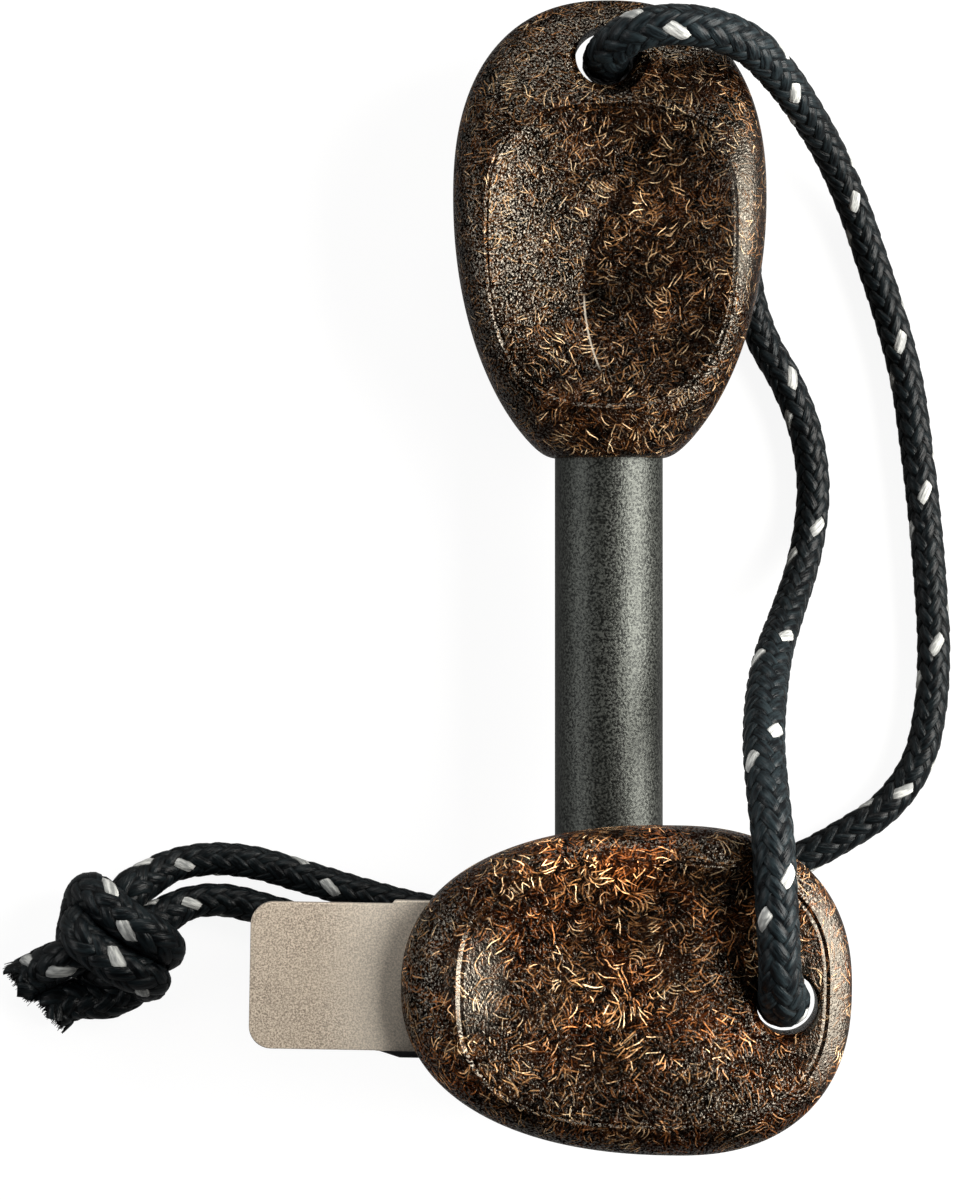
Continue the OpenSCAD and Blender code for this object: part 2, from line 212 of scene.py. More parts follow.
def add_softbox(name, azimuth, tilt, distance, size, power, colour=(1, 1, 1)):
    """A rectangular light that looks at the set. Tilt is counted from straight up, in degrees."""
    data = bpy.data.lights.new(name, "AREA")
    data.shape = "RECTANGLE"
    data.size = size[0] * MM
    data.size_y = size[1] * MM
    data.energy = power
    data.color = colour
    light = bpy.data.objects.new(name, data)
    a, t = math.radians(azimuth), math.radians(tilt)
    away = Vector((math.cos(a) * math.sin(t), math.sin(a) * math.sin(t), math.cos(t)))
    light.location = away * distance * MM
    light.rotation_mode = "QUATERNION"
    light.rotation_quaternion = away.to_track_quat("Z", "Y")
    bpy.context.collection.objects.link(light)


def light_the_studio():
    """A strong softbox low on the right, weaker ones at the upper right and left, and a white backdrop."""
    add_softbox("key_softbox", 4, 57, 420, (360, 310), 6.3, (1, 0.975, 0.93))
    add_softbox("upper_softbox", 92, 66, 460, (300, 110), 1.0, (1, 0.98, 0.94))
    add_softbox("fill_softbox", 176, 62, 420, (320, 100), 0.7)
    world = bpy.data.worlds.new("white_backdrop")
    world.use_nodes = True
    bpy.context.scene.world = world
    world.node_tree.nodes.clear()
    graph = Graph(world.node_tree)
    way = graph.node("ShaderNodeTexCoord").outputs["Generated"]
    parts = graph.node("ShaderNodeSeparateXYZ", None, Vector=way)
    high_up = graph.fade(parts.outputs["Z"], 0.2, 0.95, 0.24, 0.045)
    from_behind = graph.fade(parts.outputs["Y"], -0.7, 0.5, 0.2, 1.2)
    seen = graph.node("ShaderNodeBackground", None, Color=(1, 1, 1, 1))
    ambient = graph.node("ShaderNodeBackground", None, Color=(0.96, 0.98, 1, 1),
                         Strength=graph.math("MULTIPLY", high_up, from_behind))
    direct, sent_on = rays_to_background(graph)
    low_down = graph.math("MULTIPLY", sent_on, graph.fade(parts.outputs["Z"], 0.02, 0.12, 1, 0))
    mix = graph.node("ShaderNodeMixShader")
    out = graph.node("ShaderNodeOutputWorld")
    graph.feed(mix.inputs[0], graph.math("MAXIMUM", direct, low_down))
    graph.feed(mix.inputs[1], ambient.outputs[0])
    graph.feed(mix.inputs[2], seen.outputs[0])
    graph.feed(out.inputs["Surface"], mix.outputs[0])


def rays_to_background(graph):
    """1 for a ray straight from the camera, and 1 for one that a glossy or clear surface sends on."""
    path = graph.node("ShaderNodeLightPath")
    sent_on = graph.math("MAXIMUM", path.outputs["Is Glossy Ray"], path.outputs["Is Transmission Ray"])
    return path.outputs["Is Camera Ray"], sent_on


def lay_the_floor():
    """A plain white floor that keeps a faint shadow of the set."""
    half = FLOOR_SIDE / 2 * MM
    mesh = bpy.data.meshes.new("floor")
    mesh.from_pydata([(-half, -half, 0), (half, -half, 0), (half, half, 0), (-half, half, 0)], [], [(0, 1, 2, 3)])
    material, graph, shader = new_material("white_floor")
    direct, sent_on = rays_to_background(graph)
    seen = graph.math("MAXIMUM", direct, graph.math("MULTIPLY", sent_on, FLOOR_MIRRORED))
    graph.feed(shader.inputs["Emission Strength"], graph.math("MULTIPLY", seen, FLOOR_GLOW))
    shader.inputs["Base Color"].default_value = (0.11, 0.11, 0.11, 1)
    shader.inputs["Emission Color"].default_value = (1, 1, 1, 1)
    shader.inputs["Roughness"].default_value = 1
    shader.inputs["Specular IOR Level"].default_value = 0
    material.cycles.emission_sampling = "NONE"
    mesh.materials.append(material)
    floor = bpy.data.objects.new("floor", mesh)
    floor.location.z = FLOOR_Z * MM
    bpy.context.collection.objects.link(floor)


class Graph:
    """A node tree that is written as if its nodes were functions."""

    def __init__(self, tree):
        self.tree = tree

    def feed(self, socket, value):
        if isinstance(value, bpy.types.NodeSocket):
            self.tree.links.new(value, socket)
        else:
            socket.default_value = value

    def node(self, kind, settings=None, **inputs):
        made = self.tree.nodes.new(kind)
        for key, value in (settings or {}).items():
            setattr(made, key, value)
        for key, value in inputs.items():
            self.feed(made.inputs[key.replace("_", " ")], value)
        return made

    def math(self, operation, *values):
        made = self.tree.nodes.new("ShaderNodeMath")
        made.operation = operation
        for socket, value in zip(made.inputs, values):
            self.feed(socket, value)
        return made.outputs[0]

    def vector(self, operation, *values):
        made = self.tree.nodes.new("ShaderNodeVectorMath")
        made.operation = operation
        for socket, value in zip(made.inputs, values):
            self.feed(socket, value)
        return made.outputs["Value" if operation in ("DOT_PRODUCT", "LENGTH") else "Vector"]

    def scaled(self, vector, factor):
        made = self.tree.nodes.new("ShaderNodeVectorMath")
        made.operation = "SCALE"
        self.feed(made.inputs["Vector"], vector)
        self.feed(made.inputs["Scale"], factor)
        return made.outputs["Vector"]

    def fade(self, value, low, high, to_low=0, to_high=1):
        made = self.node("ShaderNodeMapRange", {"interpolation_type": "SMOOTHSTEP"}, Value=value)
        for name, number in zip(("From Min", "From Max", "To Min", "To Max"), (low, high, to_low, to_high)):
            self.feed(made.inputs[name], number)
        return made.outputs["Result"]

    def mix(self, factor, a, b, how="MIX"):
        made = self.tree.nodes.new("ShaderNodeMix")
        made.data_type = "RGBA"
        made.blend_type = how
        self.feed(made.inputs["Factor"], factor)
        for name, value in (("A", a), ("B", b)):
            socket = next(s for s in made.inputs if s.name == name and s.type == "RGBA")
            self.feed(socket, value)
        return next(s for s in made.outputs if s.type == "RGBA")

    def noise(self, vector, scale, detail=3, roughness=0.5):
        made = self.node("ShaderNodeTexNoise", None, Vector=vector, Scale=scale, Detail=detail,
                         Roughness=roughness)
        return made.outputs["Fac"]


def new_material(name):
    material = bpy.data.materials.new(name)
    material.use_nodes = True
    tree = material.node_tree
    tree.nodes.clear()
    graph = Graph(tree)
    shader = graph.node("ShaderNodeBsdfPrincipled")
    out = graph.node("ShaderNodeOutputMaterial")
    tree.links.new(shader.outputs[0], out.inputs["Surface"])
    return material, graph, shader


def coordinates_mm(graph):
    """The object's own coordinates in millimetres, and its normal."""
    texture = graph.node("ShaderNodeTexCoord")
    return graph.scaled(texture.outputs["Object"], 1 / MM), texture.outputs["Normal"]


def patch(graph, place, middle, reach):
    """1 at a spot seen from above, fading to 0 at the given reach to each side."""
    parts = graph.node("ShaderNodeSeparateXYZ", None, Vector=place)
    squares = []
    for axis, at, size in zip("XY", middle, reach):
        off = graph.math("DIVIDE", graph.math("SUBTRACT", parts.outputs[axis], at), size)
        squares.append(graph.math("MULTIPLY", off, off))
    return graph.fade(graph.math("ADD", *squares), 0, 1, 1, 0)


def fibre_group():
    """A bundle of short fibres in each cell of space, that lie side by side in the surface."""
    tree = bpy.data.node_groups.new("one_layer_of_fibres", "ShaderNodeTree")
    for name, kind in (("Vector", "NodeSocketVector"), ("Normal", "NodeSocketVector"),
                       ("Flow", "NodeSocketVector"), ("Width", "NodeSocketFloat"), ("Curl", "NodeSocketFloat")):
        tree.interface.new_socket(name, in_out="INPUT", socket_type=kind)
    for name in ("Mask", "Pick"):
        tree.interface.new_socket(name, in_out="OUTPUT", socket_type="NodeSocketFloat")
    graph = Graph(tree)
    given = graph.node("NodeGroupInput")
    result = graph.node("NodeGroupOutput")
    place, normal = given.outputs["Vector"], given.outputs["Normal"]
    cell = graph.node("ShaderNodeTexVoronoi", None, Vector=place, Scale=1.0, Randomness=1.0)
    parts = graph.node("ShaderNodeSeparateColor", None, Color=cell.outputs["Color"])
    from_middle = graph.vector("SUBTRACT", place, cell.outputs["Position"])
    own = graph.vector("SUBTRACT", cell.outputs["Color"], (0.5, 0.5, 0.5))
    lean = graph.vector("ADD", own, given.outputs["Flow"])
    out_of_plane = graph.scaled(normal, graph.vector("DOT_PRODUCT", lean, normal))
    along_way = graph.vector("NORMALIZE", graph.vector("SUBTRACT", lean, out_of_plane))
    across_way = graph.vector("CROSS_PRODUCT", normal, along_way)
    along = graph.vector("DOT_PRODUCT", from_middle, along_way)
    across = graph.vector("DOT_PRODUCT", from_middle, across_way)
    depth = graph.math("ABSOLUTE", graph.vector("DOT_PRODUCT", from_middle, normal))
    curl = graph.math("MULTIPLY", graph.math("SUBTRACT", parts.outputs["Red"], 0.5), given.outputs["Curl"])
    bent = graph.math("SUBTRACT", across, graph.math("MULTIPLY", curl, graph.math("POWER", along, 2.0)))
    row = graph.math("ROUND", graph.math("DIVIDE", bent, FIBRE_SPACING))
    seed = graph.node("ShaderNodeCombineXYZ", None, X=row, Y=graph.math("MULTIPLY", parts.outputs["Green"], 97))
    chance = graph.node("ShaderNodeTexWhiteNoise", {"noise_dimensions": "2D"}, Vector=seed.outputs[0])
    each = graph.node("ShaderNodeSeparateColor", None, Color=chance.outputs["Color"])
    fan = graph.math("MULTIPLY", along, graph.math("SUBTRACT", each.outputs["Red"], 0.5))
    offset = graph.math("SUBTRACT", bent, graph.math("MULTIPLY", row, FIBRE_SPACING))
    offset = graph.math("SUBTRACT", offset, graph.math("MULTIPLY", fan, 1.1))
    side = graph.math("DIVIDE", graph.math("ABSOLUTE", offset), given.outputs["Width"])
    slid = graph.math("MULTIPLY", graph.math("SUBTRACT", each.outputs["Green"], 0.5), 0.5)
    reach = graph.math("ABSOLUTE", graph.math("ADD", along, slid))
    mask = graph.fade(side, 0.45, 1.0, 1, 0)
    mask = graph.math("MULTIPLY", mask, graph.fade(reach, 0.3, 0.5, 1, 0))
    mask = graph.math("MULTIPLY", mask, graph.fade(depth, 0.35, 0.55, 1, 0))
    tree.links.new(mask, result.inputs["Mask"])
    tree.links.new(each.outputs["Blue"], result.inputs["Pick"])
    return tree


def crease_shade_and_highlight(graph, place, colour):
    """Paints the rod grip's crease: painted shade along its upper part and a painted highlight along its lower part.
    """
    parts = graph.node("ShaderNodeSeparateXYZ", None, Vector=place)
    along = graph.math("SUBTRACT", parts.outputs["Y"], ROD_GRIP_Y + CREASE_Y)
    bend = graph.math("MULTIPLY", graph.math("POWER", graph.math("ABSOLUTE", along), 2.0), CREASE_BEND)
    off = graph.math("SUBTRACT", graph.math("SUBTRACT", parts.outputs["X"], ROD_X + CREASE_X), bend)
    line = graph.fade(graph.math("ABSOLUTE", off), 0.03, 0.12, 1, 0)
    lower = graph.math("MULTIPLY", graph.fade(along, -7, -5.5), graph.fade(along, -1, 0.3, 1, 0))
    upper = graph.math("MULTIPLY", graph.fade(along, 0, 1.5), graph.fade(along, 5, 7, 1, 0))
    dark = graph.math("MULTIPLY", graph.math("MULTIPLY", line, upper), 0.8)
    bright = graph.math("MULTIPLY", graph.math("MULTIPLY", line, lower), 0.75)
    colour = graph.mix(dark, colour, (0.001, 0.001, 0.001, 1))
    return graph.mix(bright, colour, (0.42, 0.37, 0.3, 1))


def fibre_composite(name, fibres, look):
    """A dark moulding that is packed with short plant fibres."""
    ground, glow = look["ground"], look["glow"]
    material, graph, shader = new_material(name)
    own_place, normal = coordinates_mm(graph)
    place = graph.scaled(own_place, look["fineness"])
    stir = graph.node("ShaderNodeTexNoise", None, Vector=place, Scale=0.8, Detail=2.0)
    wobble = graph.vector("SUBTRACT", stir.outputs["Color"], (0.5, 0.5, 0.5))
    bent_place = graph.vector("ADD", place, graph.scaled(wobble, 0.3))
    drift = graph.node("ShaderNodeTexNoise", None, Vector=place, Scale=0.3, Detail=1.0)
    flow = graph.scaled(graph.vector("SUBTRACT", drift.outputs["Color"], (0.5, 0.5, 0.5)), 1.2)
    clouds = graph.fade(graph.noise(place, 0.16, 3), 0.36, 0.66)
    patches = graph.fade(graph.noise(place, 0.42, 4, 0.6), 0.42, 0.66)
    grain = graph.fade(graph.noise(place, 4.5, 3, 0.65), 0.3, 0.72, 0.35, 1.8)

    def toned(colour, factor):
        return (*[c * factor for c in colour], 1)

    colour = graph.mix(clouds, toned((0.0022, 0.0016, 0.0013), ground), toned((0.009, 0.005, 0.003), ground))
    colour = graph.mix(graph.math("MULTIPLY", patches, 0.7), colour, toned((0.03, 0.011, 0.005), ground))
    relief = graph.math("MULTIPLY", graph.noise(place, 4.8, 1, 0.5), 2.2)
    warm = graph.fade(graph.noise(graph.vector("ADD", place, (3, 11, 41)), 0.22, 3, 0.6), 0.4, 0.64, 0, look["warmth"])
    lush = graph.fade(graph.noise(graph.vector("ADD", place, (31, 7, 5)), 0.2, 3, 0.6), 0.32, 0.68, 0.45, 1.1)
    # Cells to the millimetre, half width in cells, curl, strength and colour range of each layer
    layers = [
        (1.35, 0.08, 0.35, 0.75, (0.01, 0.004, 0.0018), (0.05, 0.019, 0.007)),
        (1.1, 0.07, 0.35, 0.8, (0.014, 0.006, 0.0025), (0.07, 0.027, 0.009)),
        (0.9, 0.062, 0.3, 0.85, (0.018, 0.008, 0.003), (0.1, 0.04, 0.013)),
        (0.75, 0.052, 0.3, 0.85, (0.026, 0.011, 0.004), (0.14, 0.06, 0.02)),
        (0.65, 0.046, 0.3, 0.9, (0.035, 0.015, 0.006), (0.2, 0.098, 0.037)),
        (0.55, 0.038, 0.3, 0.9, (0.05, 0.023, 0.009), (0.29, 0.16, 0.068)),
        (0.6, 0.034, 0.6, 0.95, (0.08, 0.045, 0.022), (0.46, 0.34, 0.2)),
    ]
    for index, (cells, width, curl, strength, low, high) in enumerate(layers):
        moved = graph.scaled(bent_place, cells)
        moved = graph.vector("ADD", moved, (13.7 * index + 2.1, 5.3 * index, 9.1 * index))
        layer = graph.node("ShaderNodeGroup", {"node_tree": fibres}, Vector=moved, Normal=normal,
                           Flow=flow, Width=width, Curl=curl)
        mask, pick = layer.outputs["Mask"], layer.outputs["Pick"]
        tint = graph.mix(graph.math("POWER", pick, 2.0), toned(low, glow), toned(high, glow))
        cover = graph.math("MULTIPLY", mask, graph.fade(pick, 0.3 + 0.04 * index, 0.8, 0, strength))
        cover = graph.math("MULTIPLY", cover, lush)
        colour = graph.mix(cover, colour, tint)
        relief = graph.math("ADD", relief, graph.math("MULTIPLY", cover, 0.5))
    colour = graph.mix(warm, colour, (1.2, 0.76, 0.5, 1), "MULTIPLY")
    light = graph.vector("DOT_PRODUCT", colour, (0.3, 0.6, 0.1))
    contrast = graph.math("MINIMUM", graph.math("POWER", graph.math("DIVIDE", light, 0.05), 0.5), 2.6)
    colour = graph.scaled(graph.scaled(colour, contrast), grain)
    # Paler and darker patches, among them painted light and painted shade
    for middle, reach, gain in look["patches"]:
        colour = graph.scaled(colour, graph.fade(patch(graph, own_place, middle, reach), 0, 1, 1, gain))
    if look["creased"]:
        colour = crease_shade_and_highlight(graph, own_place, colour)
    bump = graph.node("ShaderNodeBump", None, Height=relief, Strength=1.0, Distance=0.03 * MM)
    graph.feed(shader.inputs["Base Color"], colour)
    graph.feed(shader.inputs["Roughness"], graph.fade(graph.noise(place, 3.5, 3), 0.3, 0.7, 0.2, 0.3))
    gloss = graph.fade(graph.noise(place, 5.2, 2, 0.6), 0.47, 0.64, 0, 1)
    # Patches worn glossy: these raise only the specular level, not the colour
    for middle, reach, most in look["wear_gloss_and_painted_light"]:
        wear_gloss_and_painted_light = graph.math("MULTIPLY", patch(graph, own_place, middle, reach), most)
        gloss = graph.math("MAXIMUM", gloss, wear_gloss_and_painted_light)
    shader.inputs["Specular IOR Level"].default_value = 0.35
    graph.feed(shader.inputs["Specular IOR Level"], gloss)
    graph.feed(shader.inputs["Normal"], bump.outputs["Normal"])
    shader.inputs["Specular Tint"].default_value = (1, 0.9, 0.74, 1)
    shader.inputs["IOR"].default_value = 1.5
    return material


def ferrocerium():
    """The rod's matte dark grey, with a coarse sparkling speckle."""
    material, graph, shader = new_material("ferrocerium")
    place, _ = coordinates_mm(graph)
    speckle = graph.fade(graph.noise(place, 4.6, 2, 0.7), 0.38, 0.64)
    streaks = graph.noise(graph.vector("MULTIPLY", place, (1, 0.12, 1)), 2.2, 3)
    colour = graph.mix(speckle, (0.009, 0.01, 0.009, 1), (0.086, 0.091, 0.082, 1))
    colour = graph.mix(graph.fade(streaks, 0.35, 0.7, 0, 0.3), colour, (0.03, 0.032, 0.029, 1))
    bump = graph.node("ShaderNodeBump", None, Height=graph.noise(place, 4.6, 2, 0.6), Strength=1.0,
                      Distance=0.05 * MM)
    graph.feed(shader.inputs["Base Color"], colour)
    graph.feed(shader.inputs["Roughness"], graph.fade(speckle, 0, 1, 0.38, 0.5))
    shader.inputs["Specular IOR Level"].default_value = 0.4
    graph.feed(shader.inputs["Normal"], bump.outputs["Normal"])
    shader.inputs["Metallic"].default_value = 0.75
    return material


def blasted_steel():
    """The blade's warm grey steel, matte from fine bead blasting, with painted light near the grip and painted shade
    on the shoulder's step.
    """
    material, graph, shader = new_material("blasted_steel")
    place, _ = coordinates_mm(graph)
    grain = graph.fade(graph.noise(place, 6.5, 3, 0.75), 0.34, 0.66)
    tone = graph.fade(graph.noise(place, 0.25, 2), 0.3, 0.7)
    parts = graph.node("ShaderNodeSeparateXYZ", None, Vector=place)
    # Painted light near the grip, to make up for the grip's shadow on the blade's root
    painted_root_light = graph.fade(parts.outputs["X"], -21, -14, 0, 0.25)
    colour = graph.mix(grain, (0.17, 0.138, 0.107, 1), (0.62, 0.525, 0.42, 1))
    colour = graph.mix(graph.math("MULTIPLY", tone, 0.2), colour, (0.5, 0.43, 0.34, 1))
    colour = graph.mix(painted_root_light, colour, (1, 0.94, 0.83, 1))
    # Painted shade: the shoulder's step past the blade's long edge is near black
    past_edge = graph.vector("DOT_PRODUCT", place, (math.cos(STRIKER_TURN), math.sin(STRIKER_TURN), 0))
    edge = BLADE_EDGE_X + STRIKER_AT[0] * math.cos(STRIKER_TURN) + STRIKER_AT[1] * math.sin(STRIKER_TURN)
    colour = graph.mix(graph.fade(past_edge, edge, edge + 0.05), colour, (0.03, 0.03, 0.032, 1))
    bump = graph.node("ShaderNodeBump", None, Height=graph.noise(place, 6.5, 2, 0.6), Strength=1.0,
                      Distance=0.02 * MM)
    graph.feed(shader.inputs["Base Color"], colour)
    graph.feed(shader.inputs["Normal"], bump.outputs["Normal"])
    shader.inputs["Roughness"].default_value = 0.46
    shader.inputs["Metallic"].default_value = 0.35
    return material


def yarn_material(name, low, high, roughness, sheen, gloss, wear_gloss_and_painted_light=HIGH_PAINTED_LIGHT):
    """A yarn of fine filaments that run along it, with painted light that makes it paler where it lies high on top of
    a grip, and painted shade along its sides. The UV map gives across and along."""
    material, graph, shader = new_material(name)
    uv = graph.node("ShaderNodeUVMap", {"uv_map": "yarn"})
    filaments = graph.noise(graph.vector("MULTIPLY", uv.outputs["UV"], (5, 0.5, 1)), 1.0, 2, 0.5)
    fuzz = graph.noise(graph.vector("MULTIPLY", uv.outputs["UV"], (11, 1.8, 1)), 1.0, 2, 0.6)
    thread = graph.math("ADD", filaments, graph.math("MULTIPLY", fuzz, 0.5))
    colour = graph.mix(graph.fade(thread, 0.6, 0.92), (*low, 1), (*high, 1))
    place, _ = coordinates_mm(graph)
    height = graph.node("ShaderNodeSeparateXYZ", None, Vector=place).outputs["Z"]
    # Painted light: the yarn gets paler the higher it lies, from 5 mm up to 16 mm above the table
    colour = graph.scaled(colour, graph.fade(height, 5, 16, 1, wear_gloss_and_painted_light))
    # Painted shade in the grooves: each yarn is painted darker towards its sides, and a little paler on its crown
    across = graph.math("FRACT", graph.node("ShaderNodeSeparateXYZ", None, Vector=uv.outputs["UV"]).outputs["X"])
    from_crown = graph.math("ABSOLUTE", graph.math("SUBTRACT", across, 0.5))
    colour = graph.scaled(colour, graph.fade(from_crown, 0.2, 0.45, 1.25, 0.25))
    bump = graph.node("ShaderNodeBump", None, Height=thread, Strength=1.0, Distance=0.12 * MM)
    graph.feed(shader.inputs["Base Color"], colour)
    graph.feed(shader.inputs["Normal"], bump.outputs["Normal"])
    graph.feed(shader.inputs["Roughness"], graph.fade(from_crown, 0.22, 0.45, roughness, 0.85))
    shader.inputs["Sheen Weight"].default_value = sheen
    shader.inputs["Sheen Roughness"].default_value = 0.4
    shader.inputs["Specular IOR Level"].default_value = gloss
    return material


def signed_power(value, power):
    return np.sign(value) * np.abs(value) ** power


def egg(t, half_w, nose, tail, nose_power, tail_power):
    """Points of an egg outline at the angles t."""
    up = np.sin(t) >= 0
    power = np.where(up, nose_power, tail_power)
    x = half_w * signed_power(np.cos(t), 2 / power)
    y = np.where(up, nose, tail) * signed_power(np.sin(t), 2 / power)
    return np.stack([x, y], axis=-1)


def egg_reach(p, half_w, nose, tail, nose_power, tail_power):
    """0 in the middle of such an egg, and 1 on its outline."""
    up = p[..., 1] >= 0
    power = np.where(up, nose_power, tail_power)
    reach = np.abs(p[..., 0]) / half_w
    length = np.abs(p[..., 1]) / np.where(up, nose, tail)
    return (reach ** power + length ** power) ** (1 / power)


def half_thickness(y, grip):
    thinning = np.clip((y - BELLY_Y) / (grip["nose"] - BELLY_Y), 0, 1) ** 2
    return grip["half_t"] * (1 - NOSE_THINNING * thinning)


def crown(reach, power):
    return np.clip(1 - np.clip(reach, 0, 1) ** power, 0, 1) ** (1 / power)


def crown_power(power, y, grip):
    share = np.clip(-y / grip["tail"], 0, 1)
    return power + (TAIL_CROWN_POWER - power) * share ** 3


def face(p, grip, power):
    """Height of a grip's face above its middle plane, at the points p."""
    reach = egg_reach(p, grip["half_w"], grip["nose"], grip["tail"], NOSE_POWER, grip["tail_power"])
    height = half_thickness(p[..., 1], grip) * crown(reach, crown_power(power, p[..., 1], grip))
    return np.maximum(PARTING_BAND, height)


def dish_depth(share):
    """Depth of a thumb dish: a crisp step, a narrow shelf with a second fine step, and a bowl."""
    step = DISH_STEP * np.clip((1 - share) / 0.022, 0, 1)
    lip = 0.1 * np.clip((0.962 - share) / 0.012, 0, 1)
    bowl = (DISH_DEPTH - DISH_STEP - 0.1) * (1 - np.minimum(share / 0.95, 1) ** 3)
    return step + lip + bowl


def mesh_from_rings(name, first, rings, last):
    """A closed mesh from a point, a stack of rings and a point."""
    around = len(rings[0])
    points = [first, *[tuple(p) for ring in rings for p in ring], last]
    faces = [(0, 1 + (i + 1) % around, 1 + i) for i in range(around)]
    for row in range(len(rings) - 1):
        a = 1 + row * around
        b = a + around
        for i in range(around):
            j = (i + 1) % around
            faces.append((a + i, a + j, b + j, b + i))
    tip = len(points) - 1
    start = 1 + (len(rings) - 1) * around
    faces += [(tip, start + i, start + (i + 1) % around) for i in range(around)]
    mesh = bpy.data.meshes.new(name)
    mesh.from_pydata([tuple(float(c) * MM for c in p) for p in points], [], faces)
    mesh.update()
    return mesh


def grip_mesh(name, grip, place):
    """A grip's moulding, in finer steps than the CAD model's, without its hole."""
    around, back_rings, rim_rings, dish_rings = 240, 44, 30, 46
    t = (np.arange(around) + 0.5) * 2 * math.pi / around
    edge = egg(t, grip["half_w"], grip["nose"], grip["tail"], NOSE_POWER, grip["tail_power"])
    middle = np.array([0, grip["dish_y"]])
    dish_edge = middle + egg(t, grip["dish_half_w"], grip["dish_nose"], grip["dish_tail"], DISH_POWER,
                             DISH_POWER)
    rest = np.array([0, REST_Y])

    def back(p):
        return np.dstack([p[None, :, 0], p[None, :, 1], -face(p, grip, BACK_POWER)[None]])[0]

    def front(p, depth):
        height = face(p, grip, FRONT_POWER) - depth
        return np.dstack([p[None, :, 0], p[None, :, 1], height[None]])[0]

    def crease(p, share):
        """The dish floor's fine curved valley line."""
        line = CREASE_X + CREASE_BEND * (p[:, 1] - CREASE_Y) ** 2
        ends = np.clip(1 - (np.abs(p[:, 1] + 5) / 12) ** 2, 0, 1)
        return grip["crease"] * np.exp(-np.abs(p[:, 0] - line) / 4.5) * ends * (1 - share ** 4)

    rings = []
    for row in range(1, back_rings + 1):
        share = math.sin(math.pi / 2 * row / back_rings)
        rings.append(back(share * edge + (1 - share) * rest))
    for row in range(rim_rings + 1):
        share = 1 - math.cos(math.pi / 2 * row / rim_rings)
        rings.append(front((1 - share) * edge + share * dish_edge, 0))
    for share in [0.99, 0.978, 0.97, 0.962, 0.956, 0.95, *np.linspace(0.94, 0.02, dish_rings)]:
        p = middle + share * (dish_edge - middle)
        rings.append(front(p, dish_depth(share) + crease(p, share)))
    bottom = np.array([middle])
    first = back(rest[None])[0]
    last = front(bottom, dish_depth(0) + crease(bottom, 0))[0]
    if grip["end_y"] is not None:
        for ring in rings:
            over = (ring[:, 1] - grip["end_y"]) / 0.35
            ring[:, 1] = grip["end_y"] + 0.35 * np.logaddexp(0, over)
    rings = [place(ring) for ring in rings]
    return mesh_from_rings(name, tuple(place(first[None])[0]), rings, tuple(place(last[None])[0]))


def at_firesteel(points):
    """From the rod grip's own frame to the table's."""
    return points + np.array([ROD_X, ROD_GRIP_Y, ROD_Z])


def at_striker(points):
    """From the striker's own frame to the table's."""
    c, s = math.cos(STRIKER_TURN), math.sin(STRIKER_TURN)
    turned = np.stack([c * points[:, 0] - s * points[:, 1], s * points[:, 0] + c * points[:, 1], points[:, 2]],
                      axis=-1)
    return turned + np.array([*STRIKER_AT, STRIKER_Z])


def hole_cutter(name, grip, front_z, back_z, place):
    """A turned cutter for a lanyard hole with rounded edges at both faces."""
    profile = [(HOLE_R + HOLE_FLARE, front_z + 6)]
    for step in range(9):
        a = math.pi / 2 * step / 8
        profile.append((HOLE_R + HOLE_FLARE * (1 - math.sin(a)), front_z - HOLE_FLARE * (1 - math.cos(a))))
    for step in range(9):
        a = math.pi / 2 * (1 - step / 8)
        profile.append((HOLE_R + HOLE_FLARE * (1 - math.sin(a)), back_z + HOLE_FLARE * (1 - math.cos(a))))
    profile.append((HOLE_R + HOLE_FLARE, back_z - 6))
    around = 72
    t = np.arange(around) * 2 * math.pi / around
    rings = []
    for radius, z in reversed(profile):
        ring = [grip["hole_x"] + radius * np.cos(t), grip["hole_y"] + radius * np.sin(t), np.full(around, z)]
        rings.append(place(np.stack(ring, axis=-1)))
    low = place(np.array([[grip["hole_x"], grip["hole_y"], profile[-1][1]]]))[0]
    high = place(np.array([[grip["hole_x"], grip["hole_y"], profile[0][1]]]))[0]
    mesh = mesh_from_rings(name, tuple(low), rings, tuple(high))
    return bpy.data.objects.new(name, mesh)


def add_piece(name, mesh, body, slot, *nodes):
    piece = bpy.data.objects.new(name, mesh)
    bpy.context.collection.objects.link(piece)
    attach(piece, body)
    if nodes:
        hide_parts(*nodes)
    return piece


def face_at(y, grip, power):
    """Height of a face on the grip's centreline."""
    return float(face(np.array([[0, y]]), grip, power)[0])


def add_grip(name, grip, place, body, node, material, sunk):
    """A grip with its lanyard hole cut through."""
    blank = bpy.data.objects.new(name + "_blank", grip_mesh(name + "_blank", grip, place))
    cutter = hole_cutter(name + "_cutter", grip, face_at(grip["hole_y"], grip, FRONT_POWER) - sunk,
                         -face_at(grip["hole_y"], grip, BACK_POWER), place)
    for helper in (blank, cutter):
        bpy.context.collection.objects.link(helper)
    cut = blank.modifiers.new("hole", "BOOLEAN")
    cut.operation = "DIFFERENCE"
    cut.solver = "EXACT"
    cut.object = cutter
    made = bpy.data.meshes.new_from_object(blank.evaluated_get(bpy.context.evaluated_depsgraph_get()))
    made.name = name
    for helper in (blank, cutter):
        bpy.data.objects.remove(helper)
    made.materials.clear()
    made.materials.append(material)
    for polygon in made.polygons:
        polygon.use_smooth = True
        polygon.material_index = 0
    made.set_sharp_from_angle(angle=math.radians(38))
    return add_piece(name, made, body, "grip", node)


